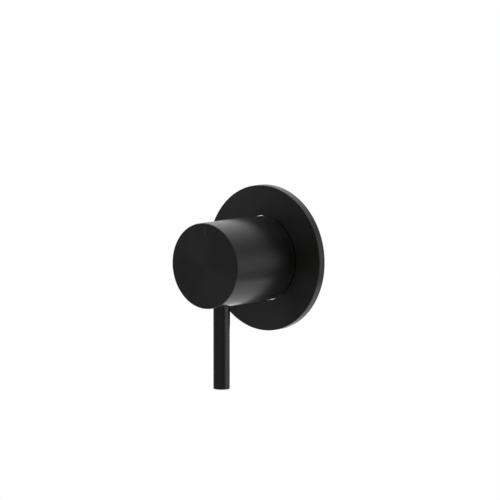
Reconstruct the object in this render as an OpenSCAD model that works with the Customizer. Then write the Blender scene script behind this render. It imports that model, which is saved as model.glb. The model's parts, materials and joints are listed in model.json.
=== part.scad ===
// Shower shut-off valve for a concealed pipe, with a round knob and a pin lever.
// The valve's axis is Y: -Y comes out of the wall towards the user, and +Z is up.
// The origin is on that axis, in the face of the finished wall.
// The lever hangs down in the closed position and turns a quarter to the right to open.

/* [Wall plate] */
// Outer diameter of the wall plate
plate_d = 70; // [62:0.5:90]
// Thickness of the wall plate
plate_t = 4; // [3:0.1:6]
// Open gap all round between the plate's hole and the sleeve
plate_gap = 0.3; // [0.2:0.05:1]
// Chamfer on the plate's edges
plate_break = 0.2; // [0.1:0.05:0.5]
// Width of the plate's rim outside its seal
plate_rim = 2; // [1.5:0.1:3]
// Width of the foam seal in the plate's back
seal_w = 5.4; // [4:0.1:7]
// Thickness of the foam seal once it is pressed flat
seal_t = 2.2; // [1.5:0.1:2.5]

/* [Knob] */
// Diameter of the knob
knob_d = 41; // [39.5:0.5:46]
// Thickness of the knob's wall round the sleeve's neck
knob_wall = 3.1; // [2.5:0.1:3.5]
// Length of the knob
knob_l = 38; // [37:0.5:45]
// From the wall to the back of the knob
knob_stand = 9; // [7:0.5:14]
// Chamfer on the knob's front edge
knob_break = 0.25; // [0.1:0.05:0.6]
// Chamfer on the knob's back edge
knob_back_break = 0.3; // [0.1:0.05:0.6]
// Metal left in front of the knob's central bore
knob_front = 9; // [7:0.5:10]
// Length of the index line on the knob's face
index_l = 6; // [3:0.5:10]
// Width of the index line
index_w = 0.4; // [0.3:0.05:0.8]
// Depth of the index line
index_deep = 0.2; // [0.1:0.05:0.4]

/* [Lever] */
// Diameter of the lever
lever_d = 8; // [6.5:0.5:9]
// How far the lever stands out of the knob's side
lever_out = 39.5; // [20:0.5:70]
// From the knob's face back to the lever's axis
lever_set = 12.3; // [11:0.1:13]
// How deep the lever's full diameter sits in the knob
lever_seat = 5.5; // [4:0.5:6]
// Chamfer on the lever's tip
lever_break = 0.3; // [0.1:0.05:0.8]
// Thread diameter of the lever's stud and of the grub screw
stud_d = 5; // [4:1:5]
// Length of the lever's stud
stud_l = 6; // [4:0.5:6]

/* [Sleeve] */
// How much smaller than the knob the sleeve is, on the radius
sleeve_inset = 0.35; // [0.1:0.05:1]
// Thickness of the sleeve's wall round the valve body's neck
sleeve_wall = 2.1; // [1.6:0.1:2.6]
// Free room on the radius between the sleeve's neck and the knob
neck_room = 0.5; // [0.3:0.1:0.8]
// Length of the sleeve's neck
neck_l = 12; // [9:0.5:13]
// Bore of the sleeve, wide enough for a socket over the headpart
sleeve_bore_d = 27; // [26:0.5:29]
// Length of the sleeve's thread on the valve body
sleeve_engage = 8; // [6:0.5:8.5]
// Length of solid metal behind the sleeve's front shoulder
sleeve_web = 5; // [3:0.5:8]
// Thickness of the lock ring behind the sleeve
lock_t = 3.6; // [2.5:0.1:3.8]
// Wall of the lock ring round its thread
lock_wall = 3.4; // [2.6:0.1:4]
// Width of the lock ring's spanner notches
notch_w = 4; // [3:0.5:6]
// Depth of those notches
notch_deep = 1.4; // [1:0.1:2]
// Width of the glide ring between neck and knob
glide_w = 4; // [3:0.5:5]
// Thickness of the glide ring
glide_t = 1.3; // [1:0.1:1.6]
// Width of the cut through the glide ring
glide_cut = 1.2; // [0.6:0.1:3]

/* [Spindle adapter] */
// Diameter of the adapter in the knob
adapter_d = 12; // [11:0.5:13]
// Diameter of the adapter's socket over the spindle
socket_d = 14.4; // [13.5:0.1:16]
// Depth of the flat under the grub screw
flat_deep = 0.5; // [0.3:0.1:0.8]
// Thickness of the web that the adapter screw clamps
web_t = 3; // [2:0.5:4]
// Thread diameter of the adapter screw
screw_d = 4; // [3:0.5:4]
// Length of the adapter screw under its head
screw_l = 11; // [9:0.5:12]
// Length of the grub screw
grub_l = 8; // [5:0.5:10]

/* [Headpart] */
// Size across the flats of the headpart's hexagon
head_af = 17; // [17:0.5:20]
// Height of the hexagon
head_hex_l = 7; // [5:0.5:9]
// Diameter of the headpart's flange
flange_d = 25; // [24.5:0.1:25.6]
// Thickness of the headpart's flange
flange_t = 2; // [1.5:0.1:3]
// Height of the gland above the hexagon
gland_l = 3; // [2:0.5:4]
// Length of the headpart's thread
head_thread_l = 8.2; // [7:0.1:8.6]
// Thickness of the washer under the flange
washer_t = 1; // [0.8:0.1:1.5]
// Outer diameter of the cage round the discs
cage_d = 18.4; // [18:0.1:18.5]
// Diameter of the ceramic discs
disc_d = 15.6; // [15:0.1:15.8]
// Thickness of each ceramic disc
disc_t = 3.4; // [3:0.1:4]
// Height of the seal between the fixed disc and the body's seat
lip_t = 2.6; // [2:0.1:3.2]
// How far that seal stands out of the headpart
lip_out = 1.2; // [0.8:0.1:1.4]
// Thickness of the spindle's drive plate
drive_t = 2.5; // [2:0.1:3]
// Thickness of the slip washer on the drive plate
slip_t = 0.6; // [0.4:0.1:0.8]
// Width of the blade that turns the moving disc
blade_w = 4; // [3:0.1:4.5]
// Height of that blade
blade_h = 1.2; // [0.8:0.1:1.6]
// Diameter of the spindle's shaft
shaft_d = 10; // [9.6:0.1:10.2]
// Thickness of the spindle's O-rings
ring_wire = 1.1; // [0.9:0.1:1.2]
// Distance between the spindle's two O-rings
ring_pitch = 6; // [4:0.5:8]
// Thickness of the spindle's clip
clip_t = 1; // [0.8:0.1:1.2]
// Depth of the clip's groove
clip_deep = 1; // [0.7:0.1:1.1]
// Outer diameter of the spline
spline_d = 8; // [7.4:0.1:8]
// Depth of the spline's teeth
tooth_deep = 0.42; // [0.3:0.02:0.5]
// Number of teeth on the spline
teeth = 20; // [16:1:24]
// Length of the spline
spline_l = 10.5; // [9:0.5:12]
// Width of one water window in the cage
window_w = 9; // [7:0.5:10]
// Turn of the lever from closed to open, in degrees
turn = 90; // [80:1:95]

/* [Valve body] */
// From the wall to the axis of the pipe
pipe_depth = 42; // [39:1:60]
// From the pipe's axis to the face of the body's neck
body_rise = 26; // [26:0.5:30]
// How much wider than its neck thread the body's barrel is, on the radius
barrel_step = 1; // [0.5:0.1:3]
// Rounding at the barrel's back
barrel_round = 5; // [2:0.5:8]
// From the valve's axis to each port's face
port_half = 36; // [34:0.5:45]
// Major diameter of the port's parallel pipe thread, and of the headpart's
pipe_thread_d = 20.955; // [20.8:0.005:21.1]
// Depth of each port's thread
port_thread_l = 15; // [12:0.5:16]
// Size across the flats of each port's hexagon
port_af = 27; // [26:0.5:30]
// Length of each port's hexagon
port_hex_l = 12; // [9:0.5:12]
// Diameter of the round stretch between barrel and hexagon
port_neck_d = 25; // [23:0.5:27]
// How much wider that stretch is where it grows out of the barrel
port_flare = 5; // [1:0.5:6]
// Bore of the pipe behind each thread
way_d = 15; // [13:0.5:16]
// Bore of the seat
seat_d = 11; // [9.5:0.5:11.5]

/* [Fits] */
// Clearance on the radius round turning parts
run_fit = 0.05; // [0.02:0.01:0.09]
// Clearance on the radius between screwed parts
thread_fit = 0.08; // [0.04:0.01:0.12]
// Clearance on the radius round parts that only slide together
slip_fit = 0.05; // [0.03:0.01:0.1]
// Gap along the axis between parts that turn past each other
end_gap = 0.3; // [0.1:0.05:0.5]

/* [Hidden] */
$fn = 96;

black_metal = [0.09, 0.09, 0.088];
brass_metal = [0.78, 0.62, 0.32];
steel_metal = [0.72, 0.73, 0.74];
white_ceramic = [0.93, 0.92, 0.88];
dark_rubber = [0.12, 0.12, 0.13];
nylon = [0.88, 0.87, 0.82];
fibre = [0.55, 0.2, 0.16];

// Heights are measured along the valve's axis, outwards from the wall
knob_back = knob_stand;
knob_face = knob_stand + knob_l;
sleeve_shoulder = knob_back - end_gap;
sleeve_front = sleeve_shoulder + neck_l;
knob_seat = sleeve_front + 2 * end_gap;
bore_end = knob_face - knob_front;
lever_z = knob_face - lever_set;
lever_root = knob_d / 2 - lever_seat;
lever_tip = knob_d / 2 + lever_out;
adapter_front = bore_end - 0.5;
grub_z = knob_seat + stud_d / 2 + 1.6;
flat_at = adapter_d / 2 - flat_deep;

neck_face = body_rise - pipe_depth;
flange_back = neck_face + washer_t;
flange_top = flange_back + flange_t;
hex_top = flange_top + head_hex_l;
gland_top = hex_top + gland_l;
spline_start = gland_top + 3.4;
spindle_top = spline_start + spline_l;

thread_end = flange_back - head_thread_l - washer_t;
slip_top = thread_end + 0.5;
drive_top = slip_top - slip_t;
drive_back = drive_top - drive_t;
moving_back = drive_back - disc_t;
fixed_back = moving_back - disc_t;
seat_z = fixed_back - lip_t;
head_end = seat_z + lip_out;

web_back = spindle_top + 1;
web_front = web_back + web_t;
socket_back = spline_start + 0.5;

sleeve_back = neck_face - sleeve_engage;
sleeve_step = sleeve_shoulder - sleeve_web;
knob_bore_d = knob_d - 2 * knob_wall;
neck_d = knob_bore_d - 2 * neck_room;
sleeve_d = knob_d - 2 * sleeve_inset;
sleeve_thread_d = sleeve_d - 2 * sleeve_wall;
body_neck_d = sleeve_thread_d - 2 * thread_fit;
barrel_d = body_neck_d + 2 * barrel_step;
lock_d = sleeve_thread_d + 2 * lock_wall;
glide_z = sleeve_shoulder + (neck_l - glide_w) / 2;
glide_out_d = knob_bore_d - 2 * run_fit;
glide_in_d = glide_out_d - 2 * glide_t;

disc_bore_d = disc_d + 0.8;
shaft_bore_d = shaft_d + 2 * run_fit;
stop_in_d = disc_bore_d - 2.8;
stop_half = 15;
ring_groove_d = shaft_d - 2 * ring_wire;
ring_heights = [flange_back - ring_pitch / 2, flange_back + ring_pitch / 2];
clip_groove_d = shaft_d - 2 * clip_deep;
clip_z = gland_top + end_gap;

barrel_top = neck_face - 12.5;
barrel_back = -pipe_depth - 15.5;
floor_z = seat_z - 0.8;
chamber_d = pipe_thread_d + 2;
neck_ring_wire = 1.4;
neck_ring_z = neck_face - 2.2;
port_start = port_half - port_hex_l;
way_end = chamber_d / 2 + 2.2;
flare_start = barrel_d / 2 - 5;
rise_d = way_d - 6;
rise_from = [chamber_d / 2 + 10.1, -pipe_depth + 2];
rise_to = [chamber_d / 2, seat_z + 3.8];
rise_way = rise_to - rise_from;

// Turns a part modelled along +Z so that it points out of the wall
module outward() rotate([90, 0, 0]) children();

// Turns a part modelled along +Z so that it points down, square to the valve's axis
module downward() rotate([90, 0, 0]) children();

module rod(d, z0, z1) translate([0, 0, z0]) cylinder(d = d, h = z1 - z0);

// Round bar with a chamfer at each end
module turned_bar(d, z0, z1, chamfer0, chamfer1) {
    r = d / 2;
    rotate_extrude() polygon([
        [0, z0], [r - chamfer0, z0], [r, z0 + chamfer0],
        [r, z1 - chamfer1], [r - chamfer1, z1], [0, z1]
    ]);
}

module ring(d_out, d_in, z0, z1) difference() {
    rod(d_out, z0, z1);
    rod(d_in, z0 - 1, z1 + 1);
}

module o_ring(d_mid, wire, z) translate([0, 0, z]) rotate_extrude() translate([d_mid / 2, 0]) circle(d = wire, $fn = 32);

// Hexagonal bar whose corners are chamfered at both ends like a turned nut
module hex_bar(af, z0, z1) intersection() {
    translate([0, 0, z0]) cylinder(d = af / cos(30), h = z1 - z0, $fn = 6);
    turned_bar(af / cos(30), z0, z1, af * 0.06, af * 0.06);
}

// Pie slice about an angle, as tall as it is asked to be
module wedge(mid, half, reach, z0, z1) translate([0, 0, z0]) linear_extrude(z1 - z0) polygon([
    [0, 0],
    for (i = [-2 : 2]) 1.5 * reach * [cos(mid + half * i / 2), sin(mid + half * i / 2)]
]);

module sector(d_out, d_in, mid, half, z0, z1) intersection() {
    ring(d_out, d_in, z0, z1);
    wedge(mid, half, d_out / 2, z0, z1);
}

module spline_outline(d, deep) polygon([
    for (i = [0 : 2 * teeth - 1])
        let (r = i % 2 == 0 ? d / 2 : d / 2 - deep, a = 180 * i / teeth)
        r * [cos(a), sin(a)]
]);

module escutcheon() color(black_metal) outward() difference() {
    turned_bar(plate_d, 0, plate_t, plate_break, plate_break);
    rod(sleeve_d + 2 * plate_gap, -1, plate_t + 1);
    ring(plate_d - 2 * plate_rim, plate_d - 2 * plate_rim - 2 * seal_w, -1, seal_t);
}

module escutcheon_seal() color(dark_rubber) outward() {
    outer = plate_d - 2 * plate_rim;
    ring(outer - 2 * slip_fit, outer - 2 * seal_w + 2 * slip_fit, 0, seal_t);
}

module mounting_sleeve() color(black_metal) outward() difference() {
    union() {
        rod(sleeve_d, sleeve_back, sleeve_shoulder);
        turned_bar(neck_d, sleeve_back + 1, sleeve_front, 0, 0.5);
    }
    rod(sleeve_bore_d, sleeve_back - 1, sleeve_front + 1);
    rod(sleeve_thread_d, sleeve_back - 1, sleeve_step);
    ring(neck_d + 2, glide_in_d - 2 * slip_fit, glide_z - slip_fit, glide_z + glide_w + slip_fit);
}

module sleeve_lock_ring() color(brass_metal) outward() difference() {
    turned_bar(lock_d, sleeve_back - lock_t, sleeve_back, 0.4, 0.4);
    rod(sleeve_thread_d, sleeve_back - lock_t - 1, sleeve_back + 1);
    for (a = [0 : 60 : 300]) rotate([0, 0, a])
        translate([lock_d / 2 - notch_deep, -notch_w / 2, sleeve_back - lock_t - 1])
            cube([notch_deep + 1, notch_w, lock_t + 2]);
}

module sleeve_o_ring() color(dark_rubber) outward()
    o_ring(sleeve_thread_d - neck_ring_wire - 2 * slip_fit, neck_ring_wire, neck_ring_z);

module glide_ring() color(nylon) outward() difference() {
    ring(glide_out_d, glide_in_d, glide_z, glide_z + glide_w);
    translate([-glide_cut / 2, 0, glide_z - 1]) cube([glide_cut, neck_d, glide_w + 2]);
}

module knob() color(black_metal) outward() difference() {
    turned_bar(knob_d, knob_back, knob_face, knob_back_break, knob_break);
    rod(knob_bore_d, knob_back - 1, knob_seat);
    rod(adapter_d + 2 * slip_fit, knob_seat - 1, bore_end);
    translate([0, 0, lever_z]) downward() {
        rod(lever_d + 2 * slip_fit, lever_root, knob_d);
        rod(stud_d + 2 * thread_fit, lever_root - stud_l - 0.5, knob_d);
    }
    translate([0, 0, grub_z]) downward() rod(stud_d + 2 * thread_fit, 0, knob_d);
    translate([-index_w / 2, knob_d / 2 - index_l, knob_face - index_deep]) cube([index_w, index_l + 1, 1]);
}

module lever() color(black_metal) outward() translate([0, 0, lever_z]) downward() {
    turned_bar(lever_d, lever_root, lever_tip, 0.2, lever_break);
    turned_bar(stud_d, lever_root - stud_l, lever_root + 1, 0.5, 0);
}

module knob_grub_screw() color(steel_metal) outward() translate([0, 0, grub_z]) downward() difference() {
    turned_bar(stud_d, flat_at, flat_at + grub_l, 0.8, 0.4);
    translate([0, 0, flat_at + grub_l - 2.2]) cylinder(d = stud_d / 2 / cos(30), h = 3, $fn = 6);
}

module spindle_adapter() color(brass_metal) outward() difference() {
    union() {
        turned_bar(socket_d, socket_back, knob_seat, 0.6, 0);
        turned_bar(adapter_d, socket_back + 1, adapter_front, 0, 0.6);
    }
    translate([0, 0, socket_back - 1]) linear_extrude(web_back - socket_back + 1)
        spline_outline(spline_d + 2 * slip_fit, tooth_deep);
    rod(screw_d + 0.4, web_back - 1, web_front + 1);
    rod(screw_d * 1.75 + 0.8, web_front, adapter_front + 1);
    translate([-adapter_d / 2, -flat_at - adapter_d, grub_z - stud_d / 2 - 1])
        cube([adapter_d, adapter_d, stud_d + 2]);
}

module adapter_screw() color(steel_metal) outward() difference() {
    union() {
        turned_bar(screw_d * 1.75, web_front, web_front + screw_d, 0, 0.3);
        turned_bar(screw_d, web_front - screw_l, web_front + 1, 0.4, 0);
    }
    translate([0, 0, web_front + screw_d / 2])
        cylinder(d = screw_d * 0.75 / cos(30), h = screw_d, $fn = 6);
}

module headpart_housing() color(brass_metal) outward() {
    difference() {
        union() {
            turned_bar(head_af - 2, hex_top - 1, gland_top, 0, 0.5);
            hex_bar(head_af, flange_top - 1, hex_top);
            turned_bar(flange_d, flange_back, flange_top, 0.2, 0.4);
            turned_bar(pipe_thread_d - 2 * thread_fit, thread_end, flange_back + 1, 0.8, 0);
            rod(cage_d, head_end, thread_end + 1);
        }
        rod(shaft_bore_d, drive_back, gland_top + 1);
        rod(disc_bore_d, head_end - 1, slip_top);
        for (a = [0, 180]) rotate([0, 0, a])
            translate([0, -window_w / 2, moving_back]) cube([cage_d, window_w, slip_top - slip_t - moving_back]);
        for (a = [90, 270]) rotate([0, 0, a])
            translate([0, -1.6, head_end - 1]) cube([disc_d / 2 + 0.75, 3.2, moving_back - head_end + 1]);
    }
    sector(disc_bore_d + 0.4, stop_in_d, 90, stop_half, drive_back + 0.2, slip_top + 0.2);
}

module housing_washer() color(fibre) outward()
    ring(flange_d - 0.4, pipe_thread_d + 0.2, neck_face, flange_back);

module spindle() color(brass_metal) outward() difference() {
    union() {
        rod(disc_bore_d - 2 * 0.15, drive_back, drive_top);
        rod(shaft_d, drive_back, spline_start - 1);
        turned_bar(spline_d - 2 * tooth_deep - 0.2, spline_start - 2, spindle_top, 0, 0.3);
        intersection() {
            translate([0, 0, spline_start]) linear_extrude(spline_l) spline_outline(spline_d, tooth_deep);
            turned_bar(spline_d - 0.1, spline_start, spindle_top, 0, 0.5);
        }
        translate([-disc_d / 2 + 1, -blade_w / 2, drive_back - blade_h]) cube([disc_d - 2, blade_w, blade_h + 0.5]);
    }
    sector(disc_bore_d + 1, stop_in_d - 0.4, 90 - turn / 2, stop_half + turn / 2 + 1.5, drive_back - 1, drive_top + 1);
    for (z = ring_heights) ring(shaft_d + 1, ring_groove_d - 0.1, z - 0.8, z + 0.8);
    ring(shaft_d + 1, clip_groove_d, clip_z, clip_z + clip_t);
    rod(screw_d + 0.1, web_front - screw_l - 1, spindle_top + 1);
}

module spindle_o_rings() color(dark_rubber) outward()
    for (z = ring_heights) o_ring((ring_groove_d + shaft_d) / 2, ring_wire - 0.06, z);

module spindle_circlip() color(steel_metal) outward() difference() {
    ring(shaft_d + 3.2, clip_groove_d + 2 * slip_fit, clip_z + slip_fit, clip_z + clip_t - slip_fit);
    wedge(90, 35, shaft_d, clip_z - 1, clip_z + clip_t + 1);
}

module slip_washer() color(nylon) outward()
    ring(stop_in_d - 0.6, shaft_d + 0.2, drive_top, slip_top);

module moving_disc() color(white_ceramic) outward() difference() {
    rod(disc_d, moving_back, drive_back);
    for (a = [90, 270]) sector(disc_d + 2, 6, a, 44, moving_back - 1, drive_back + 1);
    translate([-disc_d / 2 - 1, -blade_w / 2 - 0.1, drive_back - blade_h - 0.1]) cube([disc_d + 2, blade_w + 0.2, blade_h + 1]);
}

module fixed_disc() color(white_ceramic) outward() difference() {
    union() {
        rod(disc_d, fixed_back, moving_back);
        for (a = [90, 270]) rotate([0, 0, a]) translate([0, -1.5, fixed_back]) cube([disc_d / 2 + 0.6, 3, disc_t]);
    }
    for (a = [0, 180]) sector(11.6, 6.4, a, 38, fixed_back - 1, moving_back + 1);
}

module seat_seal() color(dark_rubber) outward() rotate_extrude() polygon([
    [disc_bore_d / 2 - 0.2, fixed_back], [disc_bore_d / 2 - 0.2, head_end + 0.2],
    [disc_bore_d / 2 - 0.5, seat_z + 0.4], [disc_bore_d / 2 - 0.9, seat_z],
    [disc_bore_d / 2 - 1.5, seat_z], [disc_bore_d / 2 - 1.8, seat_z + 0.5],
    [disc_bore_d / 2 - 1.8, fixed_back]
]);

module seal_support_ring() color(steel_metal) outward()
    ring(disc_bore_d - 3.7, disc_bore_d - 4.9, seat_z + 0.6, fixed_back);

// Barrel with a rounded back edge
module barrel() {
    rod(barrel_d - 2 * barrel_round, barrel_back, barrel_top);
    rod(barrel_d, barrel_back + barrel_round, barrel_top);
    translate([0, 0, barrel_back + barrel_round]) rotate_extrude()
        translate([barrel_d / 2 - barrel_round, 0]) circle(r = barrel_round, $fn = 64);
}

module port_outside() {
    rod(port_neck_d, 0, port_start + 1);
    translate([0, 0, flare_start]) cylinder(d1 = port_neck_d + port_flare, d2 = port_neck_d, h = 8);
    hex_bar(port_af, port_start, port_half);
}

module port_inside() {
    rod(pipe_thread_d, port_half - port_thread_l, port_half + 1);
    rod(way_d, way_end, port_half);
    rotate_extrude() polygon([
        [0, port_half - 0.8], [pipe_thread_d / 2, port_half - 0.8],
        [pipe_thread_d / 2 + 0.8, port_half], [pipe_thread_d / 2 + 0.8, port_half + 1], [0, port_half + 1]
    ]);
}

module valve_body() color(brass_metal) outward() difference() {
    union() {
        turned_bar(body_neck_d, barrel_top - 1, neck_face, 0, 0.8);
        barrel();
        for (a = [0, 180]) translate([0, 0, -pipe_depth]) rotate([0, 0, a]) downward() port_outside();
    }
    rod(pipe_thread_d, thread_end - 0.6, neck_face + 1);
    rod(chamber_d, seat_z, thread_end - 0.6);
    ring(chamber_d, seat_d + 6.6, floor_z, seat_z + 1);
    rod(seat_d, -pipe_depth - 4, seat_z + 1);
    for (a = [0, 180]) translate([0, 0, -pipe_depth]) rotate([0, 0, a]) downward() port_inside();
    // Waterway from the lower port to the room under the seat
    translate([0, 0, -pipe_depth - 4]) downward() rod(way_d - 3, -seat_d / 2 - 0.8, port_half - port_thread_l);
    // Waterway from the chamber round the cage down to the upper port
    translate([0, rise_from[0], rise_from[1]]) rotate([atan2(-rise_way[0], rise_way[1]), 0, 0])
        rod(rise_d, -2, norm(rise_way) + rise_d / 2);
    ring(body_neck_d + 2, sleeve_thread_d - 2 * neck_ring_wire - 4 * slip_fit, neck_ring_z - 1, neck_ring_z + 1);
}

escutcheon();
escutcheon_seal();
mounting_sleeve();
sleeve_lock_ring();
sleeve_o_ring();
glide_ring();
knob();
lever();
knob_grub_screw();
spindle_adapter();
adapter_screw();
headpart_housing();
housing_washer();
spindle();
spindle_o_rings();
spindle_circlip();
slip_washer();
moving_disc();
fixed_disc();
seat_seal();
seal_support_ring();
valve_body();
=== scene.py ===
import itertools
import json
import math
import bmesh
import bpy
import numpy as np
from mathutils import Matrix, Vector

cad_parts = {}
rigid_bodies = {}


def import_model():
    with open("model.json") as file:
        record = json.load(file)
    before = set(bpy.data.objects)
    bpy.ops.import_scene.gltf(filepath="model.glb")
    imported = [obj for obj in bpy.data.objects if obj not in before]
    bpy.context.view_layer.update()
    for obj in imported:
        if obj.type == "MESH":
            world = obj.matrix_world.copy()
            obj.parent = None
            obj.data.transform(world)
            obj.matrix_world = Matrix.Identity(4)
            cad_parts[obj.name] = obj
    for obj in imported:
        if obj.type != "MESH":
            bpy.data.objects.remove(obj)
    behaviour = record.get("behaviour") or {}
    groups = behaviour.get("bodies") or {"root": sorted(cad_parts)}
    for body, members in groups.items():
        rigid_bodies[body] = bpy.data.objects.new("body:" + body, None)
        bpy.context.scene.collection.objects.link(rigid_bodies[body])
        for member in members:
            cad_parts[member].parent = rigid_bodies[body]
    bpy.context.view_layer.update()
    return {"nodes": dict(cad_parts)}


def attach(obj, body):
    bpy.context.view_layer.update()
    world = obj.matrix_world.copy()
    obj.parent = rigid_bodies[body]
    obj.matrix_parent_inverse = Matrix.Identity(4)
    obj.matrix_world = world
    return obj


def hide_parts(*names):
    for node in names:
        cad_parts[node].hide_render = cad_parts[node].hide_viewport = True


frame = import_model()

print("frame loaded:", len(frame["nodes"]), "nodes")

nodes = frame["nodes"]
mm = 0.001


# Camera, as a long lens in front of the wall and to the right

cameraSettings = {
    "azimuth": 40.48,                       # degrees to the right of the valve's axis
    "elevation": 6.852,                     # degrees above the horizon
    "distance": 3.0728,
    "target": (0.01432, -0.03073, 0.00734),
    "lens": 466.47,                         # mm, as the sensor's width
    "sensor": 36.0,
    "near": 0.05,
    "far": 50.0,
}


def makeCamera(s):
    azimuth, elevation = math.radians(s["azimuth"]), math.radians(s["elevation"])
    level = math.cos(elevation)
    back = Vector((math.sin(azimuth) * level, -math.cos(azimuth) * level, math.sin(elevation)))
    data = bpy.data.cameras.new("camera")
    data.lens = s["lens"]
    data.sensor_width = s["sensor"]
    data.clip_start = s["near"]
    data.clip_end = s["far"]
    camera = bpy.data.objects.new("camera", data)
    camera.rotation_mode = "QUATERNION"
    camera.location = Vector(s["target"]) + back * s["distance"]
    camera.rotation_quaternion = (-back).to_track_quat("-Z", "Y")
    bpy.context.scene.collection.objects.link(camera)
    bpy.context.scene.camera = camera


makeCamera(cameraSettings)
print("camera made")


# Small helpers for node trees

def addNode(tree, kind, **values):
    node = tree.nodes.new(kind)
    for name, value in values.items():
        setattr(node, name, value)
    return node


def setInputs(node, **values):
    for name, value in values.items():
        node.inputs[name.replace("_", " ")].default_value = value
    return node


def mathNode(tree, operation, a, b=0.0):
    node = addNode(tree, "ShaderNodeMath", operation=operation)
    for socket, value in zip(node.inputs, (a, b)):
        if isinstance(value, (int, float)):
            socket.default_value = value
        else:
            tree.links.new(value, socket)
    return node.outputs[0]


def newMaterial(name, color, roughness, metallic=0.0):
    material = bpy.data.materials.new(name)
    material.use_nodes = True
    shader = material.node_tree.nodes["Principled BSDF"]
    setInputs(shader, Base_Color=(*color, 1.0), Roughness=roughness, Metallic=metallic)
    return material, material.node_tree, shader


# Stage: a white wall that only the camera in front of it sees, and a pale floor well below

stageSettings = {
    "steps": 96,                            # round the wall's hole and the floor's edge
    "wallHalf": 0.3,
    "wallBehind": 0.0003,                   # behind the plate's back
    "wallHole": 0.0202,
    "floorZ": -0.35,
    "floorRadius": 0.6,
    "floorColor": (0.82, 0.82, 0.81),
    "floorRoughness": 0.9,
}


def meshObject(name, bm):
    mesh = bpy.data.meshes.new(name)
    bm.to_mesh(mesh)
    bm.free()
    made = bpy.data.objects.new(name, mesh)
    bpy.context.scene.collection.objects.link(made)
    return made


def wallMaterial():
    material, tree, shader = newMaterial("wallWhite", (1, 1, 1), 1.0)
    tree.nodes.remove(shader)
    rays = addNode(tree, "ShaderNodeLightPath")
    geometry = addNode(tree, "ShaderNodeNewGeometry")
    front = mathNode(tree, "SUBTRACT", 1.0, geometry.outputs["Backfacing"])
    seen = mathNode(tree, "MULTIPLY", rays.outputs["Is Camera Ray"], front)
    white = setInputs(addNode(tree, "ShaderNodeEmission"), Strength=1.0)
    clear = addNode(tree, "ShaderNodeBsdfTransparent")
    mix = addNode(tree, "ShaderNodeMixShader")
    tree.links.new(seen, mix.inputs["Fac"])
    tree.links.new(clear.outputs[0], mix.inputs[1])
    tree.links.new(white.outputs[0], mix.inputs[2])
    tree.links.new(mix.outputs[0], tree.nodes["Material Output"].inputs["Surface"])
    return material


def makeWall(s):
    bm = bmesh.new()
    steps = s["steps"]
    inner, outer = [], []
    for i in range(steps):
        a = 2 * math.pi * (i + 0.5) / steps
        x, z = math.cos(a), math.sin(a)
        grow = s["wallHalf"] / max(abs(x), abs(z))
        inner.append(bm.verts.new((x * s["wallHole"], s["wallBehind"], z * s["wallHole"])))
        outer.append(bm.verts.new((x * grow, s["wallBehind"], z * grow)))
    for i in range(steps):
        j = (i + 1) % steps
        bm.faces.new((inner[i], outer[i], outer[j], inner[j]))
    bmesh.ops.recalc_face_normals(bm, faces=bm.faces)
    bm.faces.ensure_lookup_table()
    if bm.faces[0].normal.y > 0:
        bmesh.ops.reverse_faces(bm, faces=bm.faces)
    wall = meshObject("wall", bm)
    wall.data.materials.append(wallMaterial())


def makeFloor(s):
    bm = bmesh.new()
    bmesh.ops.create_circle(bm, cap_ends=True, segments=s["steps"], radius=s["floorRadius"])
    bmesh.ops.translate(bm, verts=bm.verts, vec=(0, 0, s["floorZ"]))
    floor = meshObject("floor", bm)
    floor.data.materials.append(newMaterial("floorPale", s["floorColor"], s["floorRoughness"])[0])


makeWall(stageSettings)
makeFloor(stageSettings)


# Light: soft lobes on the world's sphere, which is plain white to the camera

lightSettings = {
    "base": 0.157,
    # azimuth (0 = out of the wall, positive to the user's right), elevation, sharpness, strength
    "lobes": (
        (-81.9, 50.0, 6.6, 2.49),
        (-166.1, -32.5, 10.6, 2.4),
        (111.0, -0.1, 15.5, 2.0),
        (9.9, 24.9, 25.7, 2.50),
        (-23.1, -38.7, 23.5, 2.15),
        (-170.1, 11.8, 7.7, 1.96),
        (37.3, -56.5, 8.2, 2.15),
        (79.2, 80.7, 13.9, 2.15),
    ),
}


def makeWorld(s):
    world = bpy.data.worlds.new("studio")
    world.use_nodes = True
    bpy.context.scene.world = world
    tree = world.node_tree
    place = addNode(tree, "ShaderNodeTexCoord").outputs["Generated"]
    total = s["base"]
    for azimuth, elevation, sharpness, strength in s["lobes"]:
        a, e = math.radians(azimuth), math.radians(elevation)
        dot = addNode(tree, "ShaderNodeVectorMath", operation="DOT_PRODUCT")
        tree.links.new(place, dot.inputs[0])
        level = math.cos(e)
        dot.inputs[1].default_value = (math.sin(a) * level, -math.cos(a) * level, math.sin(e))
        away = mathNode(tree, "SUBTRACT", dot.outputs["Value"], 1.0)
        falloff = mathNode(tree, "MULTIPLY", away, sharpness)
        lobe = mathNode(tree, "MULTIPLY", mathNode(tree, "EXPONENT", falloff), strength)
        total = mathNode(tree, "ADD", lobe, total)
    light = tree.nodes["Background"]
    setInputs(light, Color=(1, 1, 1, 1))
    tree.links.new(total, light.inputs["Strength"])
    rays = addNode(tree, "ShaderNodeLightPath")
    white = setInputs(addNode(tree, "ShaderNodeBackground"), Color=(1, 1, 1, 1), Strength=1.0)
    mix = addNode(tree, "ShaderNodeMixShader")
    tree.links.new(rays.outputs["Is Camera Ray"], mix.inputs["Fac"])
    tree.links.new(light.outputs[0], mix.inputs[1])
    tree.links.new(white.outputs[0], mix.inputs[2])
    tree.links.new(mix.outputs[0], tree.nodes["World Output"].inputs["Surface"])


makeWorld(lightSettings)
bpy.context.scene.view_settings.view_transform = "Standard"
print("stage and light made")


# Textures that several finishes share, as node groups that take object coordinates
# A scale is in cycles per metre, and noise has its number of finer layers beside it

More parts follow.
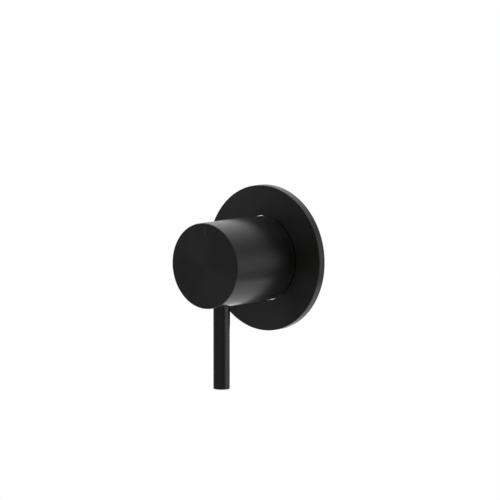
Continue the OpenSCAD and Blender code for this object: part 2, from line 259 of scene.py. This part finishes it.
textureSettings = {
    "turnedLines": (2500.0, 3.0),
    "turnedTone": (90.0, 2.0),
    "skinGrain": (3000.0, 4.0),
    "skinTone": (110.0, 5.0),
    "foamCells": 1600.0,
    "foamTone": (400.0, 2.0),
    "layerFade": 0.55,                      # strength of each finer layer to the one before
}


def newGroup(name, inputs, outputs):
    tree = bpy.data.node_groups.new(name, "ShaderNodeTree")
    for title, kind, value in inputs:
        socket = tree.interface.new_socket(title, in_out="INPUT", socket_type=kind)
        if value is not None:
            socket.default_value = value
    for title in outputs:
        tree.interface.new_socket(title, in_out="OUTPUT", socket_type="NodeSocketFloat")
    return tree, addNode(tree, "NodeGroupInput").outputs, addNode(tree, "NodeGroupOutput").inputs


def noiseNode(tree, kind, place, scale, layers):
    noise = addNode(tree, "ShaderNodeTexNoise", noise_dimensions=kind)
    setInputs(noise, Detail=layers, Roughness=textureSettings["layerFade"])
    tree.links.new(place, noise.inputs["W" if kind == "1D" else "Vector"])
    if isinstance(scale, float):
        setInputs(noise, Scale=scale)
    else:
        tree.links.new(scale, noise.inputs["Scale"])
    return noise.outputs["Fac"]


# Rings left by turning: they follow the distance from the Y axis on faces and the place along it on sides
def turnedGroup(s):
    lines, layers = s["turnedLines"]
    tree, given, result = newGroup("turnedGrain", (
        ("Vector", "NodeSocketVector", None),
        ("Lines", "NodeSocketFloat", lines),
    ), ("Height", "Tone"))
    parts = addNode(tree, "ShaderNodeSeparateXYZ")
    tree.links.new(given["Vector"], parts.inputs[0])
    x, y, z = parts.outputs
    squares = mathNode(tree, "ADD", mathNode(tree, "POWER", x, 2.0), mathNode(tree, "POWER", z, 2.0))
    place = mathNode(tree, "ADD", mathNode(tree, "SQRT", squares), y)
    tree.links.new(noiseNode(tree, "1D", place, given["Lines"], layers), result["Height"])
    tree.links.new(noiseNode(tree, "3D", given["Vector"], *s["turnedTone"]), result["Tone"])
    return tree


# Blasted or moulded skin: fine grain over slow changes of tone
def skinGroup(s):
    grain, layers = s["skinGrain"]
    tree, given, result = newGroup("skinGrain", (
        ("Vector", "NodeSocketVector", None),
        ("Grain", "NodeSocketFloat", grain),
    ), ("Height", "Tone"))
    tree.links.new(noiseNode(tree, "3D", given["Vector"], given["Grain"], layers), result["Height"])
    tree.links.new(noiseNode(tree, "3D", given["Vector"], *s["skinTone"]), result["Tone"])
    return tree


# Open cells of foam
def cellGroup(s):
    tree, given, result = newGroup("foamCells", (
        ("Vector", "NodeSocketVector", None),
        ("Cells", "NodeSocketFloat", s["foamCells"]),
    ), ("Height", "Tone"))
    cells = addNode(tree, "ShaderNodeTexVoronoi")
    tree.links.new(given["Vector"], cells.inputs["Vector"])
    tree.links.new(given["Cells"], cells.inputs["Scale"])
    tree.links.new(cells.outputs["Distance"], result["Height"])
    tree.links.new(noiseNode(tree, "3D", given["Vector"], *s["foamTone"]), result["Tone"])
    return tree


textures = {
    "turned": turnedGroup(textureSettings),
    "skin": skinGroup(textureSettings),
    "cells": cellGroup(textureSettings),
}


# Finishes

# The place in the object, turned for a pin that is round about Z and stands in front of the wall
def objectPlace(tree, s):
    place = addNode(tree, "ShaderNodeTexCoord").outputs["Object"]
    if "pinAxis" not in s:
        return place
    turn = addNode(tree, "ShaderNodeMapping")
    setInputs(turn, Rotation=(math.pi / 2, 0, 0), Location=(0, 0, s["pinAxis"]))
    tree.links.new(place, turn.inputs["Vector"])
    return turn.outputs["Vector"]


def mixColor(tree, factor, first, second):
    mix = addNode(tree, "ShaderNodeMix", data_type="RGBA")
    tree.links.new(factor, mix.inputs["Factor"])
    for socket, value in ((mix.inputs[6], first), (mix.inputs[7], second)):
        if isinstance(value, tuple):
            socket.default_value = (*value, 1.0)
        else:
            tree.links.new(value, socket)
    return mix.outputs[2]


# Spreads a tone, which stays mostly between these two values, from low to high
def rangeNode(tree, value, low, high, least=0.3, most=0.7):
    node = addNode(tree, "ShaderNodeMapRange")
    setInputs(node, From_Min=least, From_Max=most, To_Min=low, To_Max=high)
    tree.links.new(value, node.inputs["Value"])
    return node.outputs["Result"]


def finish(name, s):
    material, tree, shader = newMaterial(name, s["light"], s["roughness"][0], s.get("metallic", 0.0))
    texture = addNode(tree, "ShaderNodeGroup", node_tree=textures[s["texture"]])
    tree.links.new(objectPlace(tree, s), texture.inputs["Vector"])
    texture.inputs[1].default_value = s["grain"]
    tone = rangeNode(tree, texture.outputs["Tone"], 0.0, 1.0)
    tree.links.new(mixColor(tree, tone, s["dark"], s["light"]), shader.inputs["Base Color"])
    tree.links.new(rangeNode(tree, texture.outputs["Tone"], *s["roughness"]), shader.inputs["Roughness"])
    bump = setInputs(addNode(tree, "ShaderNodeBump"), Strength=s["bump"], Distance=s["deep"] * mm)
    tree.links.new(texture.outputs["Height"], bump.inputs["Height"])
    tree.links.new(bump.outputs["Normal"], shader.inputs["Normal"])
    setInputs(shader, Specular_IOR_Level=s.get("specular", 0.5))
    if "turned" in s:
        turnedTangent(tree, shader, s["axis"], s["turned"])
    return material


# Spreads highlights across the rings that turning leaves
def turnedTangent(tree, shader, axis, amount):
    tangent = addNode(tree, "ShaderNodeTangent", direction_type="RADIAL", axis=axis)
    tree.links.new(tangent.outputs["Tangent"], shader.inputs["Tangent"])
    setInputs(shader, Anisotropic=amount, Anisotropic_Rotation=0.25)


blackSettings = {
    "texture": "turned",
    "grain": 2500.0,
    "dark": (0.0040, 0.0040, 0.0037),
    "light": (0.0050, 0.0050, 0.0046),
    "roughness": (0.24, 0.26),
    "specular": 0.5,
    "bump": 0.08,
    "deep": 0.01,
    "turned": 0.6,
    "axis": "Y",
}

pinSettings = {**blackSettings, "specular": 0.37, "turned": 0.2, "axis": "Z", "pinAxis": 0.0347}
plateSettings = {**blackSettings, "roughness": (0.30, 0.33), "turned": 0.5}

forgedSettings = {
    "texture": "skin",
    "grain": 2600.0,
    "dark": (0.60, 0.43, 0.19),
    "light": (0.74, 0.57, 0.29),
    "metallic": 1.0,
    "roughness": (0.36, 0.48),
    "bump": 0.35,
    "deep": 0.05,
}

turnedBrassSettings = {
    "texture": "turned",
    "grain": 3200.0,
    "dark": (0.72, 0.55, 0.27),
    "light": (0.80, 0.64, 0.35),
    "metallic": 1.0,
    "roughness": (0.18, 0.26),
    "bump": 0.2,
    "deep": 0.01,
    "turned": 0.5,
    "axis": "Y",
}

steelSettings = {
    "texture": "skin",
    "grain": 5000.0,
    "dark": (0.50, 0.51, 0.52),
    "light": (0.60, 0.61, 0.62),
    "metallic": 1.0,
    "roughness": (0.22, 0.32),
    "bump": 0.1,
    "deep": 0.01,
}

ceramicSettings = {
    "texture": "skin",
    "grain": 8000.0,
    "dark": (0.78, 0.76, 0.70),
    "light": (0.84, 0.82, 0.77),
    "roughness": (0.12, 0.2),
    "bump": 0.05,
    "deep": 0.005,
}

rubberSettings = {
    "texture": "skin",
    "grain": 6000.0,
    "dark": (0.012, 0.012, 0.013),
    "light": (0.02, 0.02, 0.021),
    "roughness": (0.5, 0.62),
    "bump": 0.15,
    "deep": 0.02,
}

foamSettings = {
    "texture": "cells",
    "grain": 1500.0,
    "dark": (0.022, 0.022, 0.024),
    "light": (0.045, 0.045, 0.048),
    "roughness": (0.85, 0.98),
    "specular": 0.25,
    "bump": 0.9,
    "deep": 0.25,
}

plasticSettings = {
    "texture": "skin",
    "grain": 4000.0,
    "dark": (0.76, 0.74, 0.68),
    "light": (0.82, 0.80, 0.75),
    "roughness": (0.32, 0.42),
    "bump": 0.1,
    "deep": 0.01,
}

fibreSettings = {
    "texture": "skin",
    "grain": 1800.0,
    "dark": (0.16, 0.03, 0.02),
    "light": (0.27, 0.06, 0.04),
    "roughness": (0.7, 0.85),
    "bump": 0.5,
    "deep": 0.05,
}

indexSettings = {
    "face": 46.7,                           # mm in front of the wall
    "half": 0.26,
    "from": 14.3,                           # mm above the valve's axis
    "color": (0.05, 0.05, 0.049),
}


# The knob's finish is the black one, with a lighter floor in its index line
def knobFinish(s):
    material = finish("blackKnob", blackSettings)
    tree = material.node_tree
    shader = tree.nodes["Principled BSDF"]
    parts = addNode(tree, "ShaderNodeSeparateXYZ")
    tree.links.new(addNode(tree, "ShaderNodeTexCoord").outputs["Object"], parts.inputs[0])
    x, y, z = parts.outputs
    inFace = mathNode(tree, "LESS_THAN", y, -s["face"] * mm)
    inWidth = mathNode(tree, "LESS_THAN", mathNode(tree, "ABSOLUTE", x), s["half"] * mm)
    inLength = mathNode(tree, "GREATER_THAN", z, s["from"] * mm)
    line = mathNode(tree, "MULTIPLY", inFace, mathNode(tree, "MULTIPLY", inWidth, inLength))
    black = shader.inputs["Base Color"].links[0].from_socket
    tree.links.new(mixColor(tree, line, black, s["color"]), shader.inputs["Base Color"])
    return material


def dress(material, *names):
    for name in names:
        slots = nodes[name].data.materials
        slots.clear()
        slots.append(material)


forgedBrass = finish("forgedBrass", forgedSettings)
turnedBrass = finish("turnedBrass", turnedBrassSettings)
dress(knobFinish(indexSettings), "knob")
dress(finish("blackTurned", blackSettings), "mounting_sleeve")
dress(finish("blackPlate", plateSettings), "escutcheon")
dress(finish("blackPin", pinSettings), "lever")
dress(turnedBrass, "sleeve_lock_ring", "spindle_adapter", "headpart_housing", "spindle")
dress(forgedBrass, "valve_body")
dress(finish("steel", steelSettings), "knob_grub_screw", "adapter_screw")
dress(finish("springSteel", steelSettings), "spindle_circlip", "seal_support_ring")
dress(finish("discCeramic", ceramicSettings), "moving_disc", "fixed_disc")
dress(finish("sealRubber", rubberSettings), "sleeve_o_ring", "spindle_o_rings", "seat_seal")
dress(finish("foamRubber", foamSettings), "escutcheon_seal")
dress(finish("glidePlastic", plasticSettings), "glide_ring", "slip_washer")
dress(finish("fibre", fibreSettings), "housing_washer")
print("finishes made")


# Valve body: a forging with fillets, a trimmed flash line and a raised flow arrow, machined at its ends
# All its sizes are in millimetres

bodySettings = {
    "cell": 0.5,                            # of the net that the outside is made of
    "netBeside": 3.0,                       # room that the net has round the body
    "netBeyond": 2.0,
    "netAhead": 1.0,
    "pipeAxis": 42.0,                       # behind the wall
    "barrelRadius": 18.97,
    "barrelTop": 28.5,
    "barrelBack": 57.5,
    "backRound": 5.0,
    "neckFace": 16.0,
    "neckRadius": 17.97,
    "neckCore": 16.2,                       # radius inside the thread, to which the net fills the neck
    "neckPitch": 1.5,
    "neckThread": 0.92,
    "neckBreak": 0.8,
    "grooveMiddle": 18.2,
    "grooveHalf": 1.0,
    "grooveRadius": 16.55,
    "portHalf": 36.0,
    "portRadius": 12.5,
    "flareGrow": 2.5,
    "flareFrom": 13.97,
    "flareLength": 8.0,
    "hexFrom": 24.0,
    "hexFlats": 27.0,
    "hexBreak": 1.62,
    "fillet": 3.5,
    "hexFillet": 1.2,
    "edgeRound": 0.7,
    "flashHeight": 0.14,
    "flashHalf": 0.7,
    "flashEdge": 4,                         # the higher, the steeper its edges
    "arrowHalf": 9.0,
    "arrowHead": 4.6,
    "arrowLength": 8.0,
    "arrowShaft": 1.6,
    "arrowProud": 0.6,
    "arrowSunk": 0.9,
    "arrowDraft": 0.6,                      # how far its walls lean in
    "arrowRows": (12, 10),                  # along its shaft and its head
    "arrowNotch": 0.02,                     # between the shaft's end and the head's
    "arrowBlunt": 0.1,                      # cut off the head's tip
    "spare": 0.5,                           # metal beyond a port's face, which is cut off
    "overlap": 1.0,                         # how far pieces that are joined or cut reach into each other
    "clear": 5.0,                           # how far the cut past a port's face reaches
    "threadRows": 12,                       # rings per turn of a thread
    "neckSteps": 128,                       # points on each ring of the neck's thread
    "pipeMajor": 10.4775,
    "pipeMinor": 9.316,
    "pipePitch": 1.8143,
    "pipeBreak": 0.8,
    "threadEnd": 21.0,
    "wayRadius": 7.5,
    "wayEnd": 13.68,
    "headBore": (10.4775, 15.0, 25.0),      # radius, from and to, as for the next three
    "chamber": (11.4775, 24.8, 37.0),
    "seatRing": (8.8, 36.2, 38.0),
    "seatBore": (5.5, 35.0, 46.0),
    "underRadius": 6.0,
    "underAxis": 46.0,
    "underEnd": 6.3,
    "riseRadius": 4.5,
    "riseFrom": (0.0, 40.0, 21.58),
    "riseTo": (0.0, 32.4, 11.48),
    "rise": (-2.0, 17.1),                   # where that cut starts and ends along its own axis
    "faceNear": 0.1,                        # how near to a port's face a machined face lies
    "topNear": 0.01,
    "sharp": 35.0,                          # degrees
}


def roundUnion(a, b, r):
    return np.maximum(np.minimum(a, b), r) - np.hypot(np.maximum(r - a, 0), np.maximum(r - b, 0))


def roundCut(a, b, r):
    return -roundUnion(-a, -b, r)


def barrelField(s, x, y, z):
    r = s["backRound"]
    around = np.hypot(x, z) - s["barrelRadius"]
    back = y - s["barrelBack"]
    field = np.hypot(np.maximum(around + r, 0), np.maximum(back + r, 0)) - r
    field = field + np.minimum(np.maximum(around + r, back + r), 0)
    return roundCut(field, s["barrelTop"] - y, s["edgeRound"] / 2)


def portFields(s, x, y, z):
    far = np.abs(z)
    around = np.hypot(x, y)
    left = (s["flareFrom"] + s["flareLength"] - far) / s["flareLength"]
    steep = math.cos(math.atan2(s["flareGrow"], s["flareLength"]))
    tube = steep * (around - s["portRadius"] - s["flareGrow"] * np.clip(left, 0, 1))
    tube = np.maximum(tube, far - (s["hexFrom"] + s["portHalf"]) / 2)
    across = [np.abs(math.cos(a) * x + math.sin(a) * y) for a in (math.pi / 6, math.pi / 2, math.pi * 5 / 6)]
    flats = np.maximum.reduce(across) - s["hexFlats"] / 2
    tip = s["hexFlats"] / 2 / math.cos(math.pi / 6) - s["hexBreak"]
    cone = math.sqrt(0.5) * (around - tip - np.minimum(s["portHalf"] - far, far - s["hexFrom"]))
    hexagon = roundCut(roundCut(flats, cone, s["edgeRound"]), s["hexFrom"] - far, s["edgeRound"] / 2)
    return tube, np.maximum(hexagon, far - s["portHalf"] - s["spare"])


def forgedField(s, p):
    x, y, z = p[..., 0], p[..., 1], p[..., 2]
    tube, hexagon = portFields(s, x, y - s["pipeAxis"], z)
    body = roundUnion(barrelField(s, x, y, z), tube, s["fillet"])
    flash = s["flashHeight"] * np.exp(-(x / s["flashHalf"]) ** s["flashEdge"])
    body = roundUnion(body, hexagon, s["hexFillet"]) - flash
    body = roundCut(body, y - s["barrelBack"], s["edgeRound"])
    core = np.maximum(s["neckFace"] + s["overlap"] - y, y - s["pipeAxis"])
    return np.minimum(body, np.maximum(np.hypot(x, z) - s["neckCore"], core))


# Puts one point in each cell that the surface passes through and joins neighbours by squares
def surfaceNet(field, low, high, cell):
    axes = [np.arange(a, b, cell) for a, b in zip(low, high)]
    grid = np.stack(np.meshgrid(*axes, indexing="ij"), -1)
    inside = field(grid) < 0
    size = [n - 1 for n in inside.shape]
    corners = itertools.product((0, 1), repeat=3)
    count = sum(inside[i:i + size[0], j:j + size[1], k:k + size[2]].astype(int) for i, j, k in corners)
    mixed = (count > 0) & (count < 8)
    index = np.full(size, -1)
    index[mixed] = np.arange(mixed.sum())
    faces = []
    for axis in range(3):
        first = np.take(inside, range(size[axis]), axis)
        last = np.take(inside, range(1, size[axis] + 1), axis)
        for leaves, crossed in ((True, first & ~last), (False, ~first & last)):
            places = np.argwhere(crossed)
            ring = []
            for back in ((1, 1), (0, 1), (0, 0), (1, 0)):
                cells = places.copy()
                cells[:, (axis + 1) % 3] -= back[0]
                cells[:, (axis + 2) % 3] -= back[1]
                ring.append(index[tuple(cells.T)])
            faces.append(np.stack(ring if leaves else ring[::-1], 1))
    return grid[:-1, :-1, :-1][mixed] + cell / 2, np.concatenate(faces)


# Moves points along the field's slope until they lie on the surface
def drawOnto(field, points, cell, rounds=8, step=0.02, flattest=0.2):
    for _ in range(rounds):
        slope = [(field(points + d) - field(points - d)) / (2 * step) for d in np.eye(3) * step]
        slope = np.stack(slope, -1)
        length = np.maximum((slope ** 2).sum(-1, keepdims=True), flattest)
        points = points - np.clip(field(points)[:, None] * slope / length, -cell, cell)
    return points


def facesObject(name, points, faces):
    mesh = bpy.data.meshes.new(name)
    mesh.from_pydata((np.asarray(points) * mm).tolist(), [], faces)
    mesh.update()
    made = bpy.data.objects.new(name, mesh)
    bpy.context.scene.collection.objects.link(made)
    return made


# A closed solid of rings along an axis square to X, whose radius may change with angle and height
def ringSolid(start, along, heights, radius, steps=96):
    along = np.array(along) / np.linalg.norm(along)
    across = np.array((1.0, 0.0, 0.0))
    up = np.cross(along, across)
    angles = np.arange(steps) * 2 * math.pi / steps
    rows = []
    for h in heights:
        r = (radius(angles, h) if callable(radius) else np.full(steps, radius))[:, None]
        turn = np.cos(angles)[:, None] * across + np.sin(angles)[:, None] * up
        rows.append(np.array(start) + h * along + r * turn)
    ids = np.arange(len(rows) * steps).reshape(len(rows), steps)
    after = np.roll(ids, -1, 1)
    quads = np.stack([ids[:-1], after[:-1], after[1:], ids[1:]], -1).reshape(-1, 4)
    ends = [ids[0][::-1].tolist(), ids[-1].tolist()]
    return facesObject("cutter", np.concatenate(rows), quads.tolist() + ends)


# Between 0 in a thread's root and 1 on its crest, for a right-hand thread with rounded roots and crests
def threadWave(angle, height, pitch):
    return 0.5 + 0.5 * np.cos(2 * math.pi * height / pitch - angle)


def neckSolid(s):
    def radius(angle, h):
        root = s["neckRadius"] - s["neckThread"]
        thread = root + s["neckThread"] * threadWave(angle, h, s["neckPitch"])
        if abs(h - s["grooveMiddle"]) < s["grooveHalf"]:
            return np.full_like(angle, s["grooveRadius"])
        return np.minimum(thread, s["neckRadius"] - s["neckBreak"] + h - s["neckFace"])

    heights = np.arange(s["neckFace"], s["barrelTop"] + s["overlap"], s["neckPitch"] / s["threadRows"])
    return ringSolid((0, 0, 0), (0, 1, 0), heights, radius, s["neckSteps"])


def portCutter(s, side):
    def radius(angle, h):
        thread = s["pipeMinor"] + (s["pipeMajor"] - s["pipeMinor"]) * threadWave(angle, h, s["pipePitch"])
        return np.maximum(thread, s["pipeMajor"] + s["pipeBreak"] + h - s["portHalf"])

    heights = np.arange(s["threadEnd"], s["portHalf"] + s["overlap"], s["pipePitch"] / s["threadRows"])
    return ringSolid((0, s["pipeAxis"], 0), (0, 0, side), heights, radius)


# Flow arrow bent round the barrel's side, pointing up along the pipe
def arrowSolid(s, side):
    tip, headBack = s["arrowHalf"], s["arrowHalf"] - s["arrowLength"]
    shaftRows, headRows = s["arrowRows"]
    shaft = np.linspace(-tip, headBack - s["arrowNotch"], shaftRows)
    head = np.linspace(headBack, tip - s["arrowBlunt"], headRows)
    rows = [(u, s["arrowShaft"]) for u in shaft]
    rows += [(u, s["arrowHead"] * (tip - u) / s["arrowLength"]) for u in head]
    low, high = s["barrelRadius"] - s["arrowSunk"], s["barrelRadius"] + s["arrowProud"]
    points = []
    for u, half in rows:
        turn = u / s["barrelRadius"]
        top = max(half - s["arrowDraft"], s["arrowDraft"] / 4)
        foot = half + s["arrowDraft"]
        for r, y in ((low, -foot), (low, foot), (high, top), (high, -top)):
            points.append((side * r * math.cos(turn), s["pipeAxis"] + side * y, r * math.sin(turn)))
    faces = [[3, 2, 1, 0], [len(points) - 4 + i for i in range(4)]]
    for k in range(0, len(points) - 4, 4):
        faces += [[k + i, k + (i + 1) % 4, k + 4 + (i + 1) % 4, k + 4 + i] for i in range(4)]
    return facesObject("cutter", points, faces)


def combine(target, steps):
    for other, operation in steps:
        modifier = target.modifiers.new("combine", "BOOLEAN")
        modifier.operation = operation
        modifier.solver = "MANIFOLD"
        modifier.object = other
    bpy.context.view_layer.update()
    target.data = bpy.data.meshes.new_from_object(target.evaluated_get(bpy.context.evaluated_depsgraph_get()))
    target.modifiers.clear()
    for other, _ in steps:
        bpy.data.objects.remove(other)


def cutSteps(s):
    axis, pipe = (0, 1, 0), (0, s["pipeAxis"], 0)
    end, wide = s["portHalf"], 2 * s["portHalf"]
    steps = [(neckSolid(s), "UNION")]
    for side in (1, -1):
        steps.append((arrowSolid(s, side), "UNION"))
        steps.append((ringSolid(pipe, (0, 0, side), (end, end + s["clear"]), wide), "DIFFERENCE"))
        steps.append((portCutter(s, side), "DIFFERENCE"))
        reach = (s["wayEnd"], s["threadEnd"] + s["overlap"])
        way = ringSolid(pipe, (0, 0, side), reach, s["wayRadius"])
        steps.append((way, "DIFFERENCE"))
    for name in ("headBore", "chamber", "seatRing", "seatBore"):
        radius, low, high = s[name]
        operation = "UNION" if name == "seatRing" else "DIFFERENCE"
        steps.append((ringSolid((0, 0, 0), axis, (low, high), radius), operation))
    reach = (-s["underEnd"], s["threadEnd"] + s["spare"])
    under = ringSolid((0, s["underAxis"], 0), (0, 0, -1), reach, s["underRadius"])
    rise = ringSolid(s["riseFrom"], np.subtract(s["riseTo"], s["riseFrom"]), s["rise"], s["riseRadius"])
    return steps + [(under, "DIFFERENCE"), (rise, "DIFFERENCE")]


def isMachined(s, place):
    x, y, z = place / mm
    onFace = abs(z) > s["portHalf"] - s["faceNear"]
    inPort = math.hypot(x, y - s["pipeAxis"]) < s["pipeMajor"] + s["pipeBreak"]
    return onFace or inPort or y < s["barrelTop"] - s["topNear"]


def makeBody(s):
    def field(points):
        return forgedField(s, points)

    side, reach = s["barrelRadius"] + s["netBeside"], s["portHalf"] + s["netBeyond"]
    low = (-side, s["neckFace"] - s["netAhead"], -reach)
    high = (side, s["barrelBack"] + s["netBeyond"], reach)
    points, faces = surfaceNet(field, low, high, s["cell"])
    body = facesObject("forged_body", drawOnto(field, points, s["cell"]), faces.tolist())
    combine(body, cutSteps(s))
    mesh = body.data
    mesh.materials.clear()
    mesh.materials.append(forgedBrass)
    mesh.materials.append(turnedBrass)
    for face in mesh.polygons:
        face.use_smooth = True
        face.material_index = int(isMachined(s, face.center))
    mesh.set_sharp_from_angle(angle=math.radians(s["sharp"]))
    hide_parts("valve_body")
    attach(body, "fixed")
    print("forged body:", sum(len(face.vertices) - 2 for face in mesh.polygons), "triangles")


makeBody(bodySettings)
